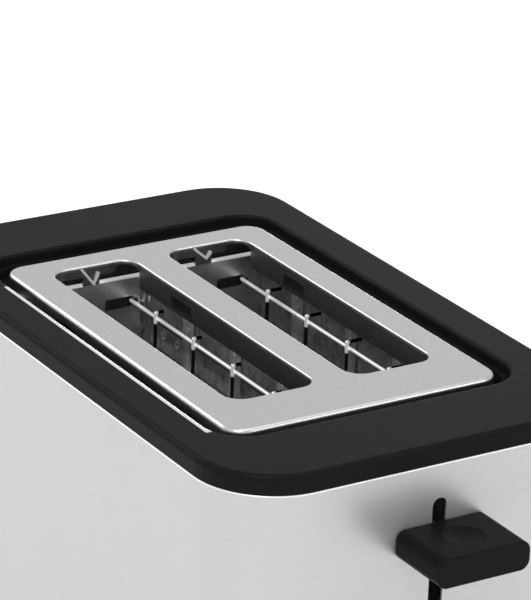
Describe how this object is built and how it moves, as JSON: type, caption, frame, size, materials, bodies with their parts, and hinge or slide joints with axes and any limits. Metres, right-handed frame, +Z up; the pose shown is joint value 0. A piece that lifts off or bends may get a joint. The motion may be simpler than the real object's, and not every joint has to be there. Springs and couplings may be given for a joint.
{
  "type": "pop up toaster",
  "caption": "Pop-up toaster with a wrapped brushed steel casing, black rim round a sunken steel slot plate, end lever, browning dial, push buttons and pull-out crumb tray.",
  "frame": {"origin": "on the table under the middle of the whole toaster, lever included", "axes": "+Z up, +X out of the end that carries the lever, Y across the two slots"},
  "size_m": [0.2846, 0.1576, 0.1852],
  "materials": {
    "casing_steel": "brushed",
    "plate_steel": "satin",
    "chamber_steel": "satin",
    "bright_wire": "polished",
    "black_plastic": "satin",
    "control_plastic": "gloss",
    "rubber_black": "matte",
    "mica": "matte",
    "ribbon": "satin",
    "zinc_steel": "satin",
    "dark_steel": "satin",
    "board_green": "satin",
    "copper_coil": "satin",
    "white_plastic": "satin"
  },
  "bodies": {
    "casing": {"shell": "casing_steel", "top_bezel": "black_plastic", "slot_plate": "plate_steel", "base": "black_plastic", "cord_gland": "rubber_black", "foot_rear_left": "rubber_black", "foot_rear_right": "rubber_black", "foot_front_left": "rubber_black", "foot_front_right": "rubber_black", "end_plate_rear": "chamber_steel", "end_plate_front": "chamber_steel", "reflector_left": "chamber_steel", "reflector_right": "chamber_steel", "chamber_column": "chamber_steel", "chassis_screws": "zinc_steel", "board_rivets": "bright_wire", "guide_rod": "bright_wire", "rod_bracket": "zinc_steel", "carriage_spring": "bright_wire", "magnet_core": "zinc_steel", "magnet_coil": "copper_coil", "mains_contacts": "white_plastic", "control_board": "board_green", "key_switches": "control_plastic", "button_frame": "white_plastic", "browning_control": "control_plastic", "heater_board_left": "mica", "board_rail_lower_left": "dark_steel", "board_rail_upper_left": "dark_steel", "heater_ribbon_left": "ribbon", "board_strips_left": "chamber_steel", "heater_board_centre": "mica", "board_rail_lower_centre": "dark_steel", "board_rail_upper_centre": "dark_steel", "heater_ribbon_centre": "ribbon", "board_strips_centre": "chamber_steel", "heater_board_right": "mica", "board_rail_lower_right": "dark_steel", "board_rail_upper_right": "dark_steel", "heater_ribbon_right": "ribbon", "board_strips_right": "chamber_steel"},
    "carriage": {"carriage": "zinc_steel", "latch_keeper": "zinc_steel", "lever_arm": "zinc_steel", "lever_knob": "black_plastic", "bread_rack_left": "bright_wire", "bread_rack_right": "bright_wire"},
    "tray": {"crumb_tray": "zinc_steel", "tray_grip": "black_plastic"},
    "dial": {"browning_dial": "black_plastic", "dial_shaft": "white_plastic"},
    "button_stop": {"button_stop": "control_plastic"},
    "button_reheat": {"button_reheat": "control_plastic"},
    "button_defrost": {"button_defrost": "control_plastic"},
    "guard_left_inner": {"guard_left_slot_inner": "bright_wire"},
    "guard_left_outer": {"guard_left_slot_outer": "bright_wire"},
    "guard_right_inner": {"guard_right_slot_inner": "bright_wire"},
    "guard_right_outer": {"guard_right_slot_outer": "bright_wire"}
  },
  "joints": [
    {"name": "lever_slide", "type": "slide", "parent": "casing", "child": "carriage", "axis": [0, 0, 1], "range_m": [-0.075, 0.01], "stiffness_N_per_m": 60, "springref_m": 0.0142, "deforming": ["carriage_spring"]},
    {"name": "tray_slide", "type": "slide", "parent": "casing", "child": "tray", "axis": [-1, 0, 0], "range_m": [0, 0.19]},
    {"name": "dial_turn", "type": "hinge", "parent": "casing", "child": "dial", "pos_m": [0.11475, 0.0015, 0.044], "axis": [1, 0, 0], "range_deg": [-270, 0]},
    {"name": "stop_press", "type": "slide", "parent": "casing", "child": "button_stop", "axis": [-1, 0, 0], "range_m": [0, 0.002], "stiffness_N_per_m": 300},
    {"name": "reheat_press", "type": "slide", "parent": "casing", "child": "button_reheat", "axis": [-1, 0, 0], "range_m": [0, 0.002], "stiffness_N_per_m": 300},
    {"name": "defrost_press", "type": "slide", "parent": "casing", "child": "button_defrost", "axis": [-1, 0, 0], "range_m": [0, 0.002], "stiffness_N_per_m": 300},
    {"name": "guard_left_inner_swing", "type": "hinge", "parent": "casing", "child": "guard_left_inner", "pos_m": [-0.01375, -0.0031, 0.034], "axis": [1, 0, 0], "range_deg": [-0.63, 4.16]},
    {"name": "guard_left_outer_swing", "type": "hinge", "parent": "casing", "child": "guard_left_outer", "pos_m": [-0.01375, -0.0454, 0.034], "axis": [1, 0, 0], "range_deg": [-4.16, 0.63]},
    {"name": "guard_right_inner_swing", "type": "hinge", "parent": "casing", "child": "guard_right_inner", "pos_m": [-0.01375, 0.0059, 0.034], "axis": [1, 0, 0], "range_deg": [-4.16, 0.63]},
    {"name": "guard_right_outer_swing", "type": "hinge", "parent": "casing", "child": "guard_right_outer", "pos_m": [-0.01375, 0.0467, 0.034], "axis": [1, 0, 0], "range_deg": [-0.63, 4.16]}
  ],
  "couplings": [
    {"joint": "guard_left_inner_swing", "follows": "lever_slide", "rad_per_m": -0.95},
    {"joint": "guard_left_outer_swing", "follows": "lever_slide", "rad_per_m": 0.95},
    {"joint": "guard_right_inner_swing", "follows": "lever_slide", "rad_per_m": 0.95},
    {"joint": "guard_right_outer_swing", "follows": "lever_slide", "rad_per_m": -0.95}
  ]
}
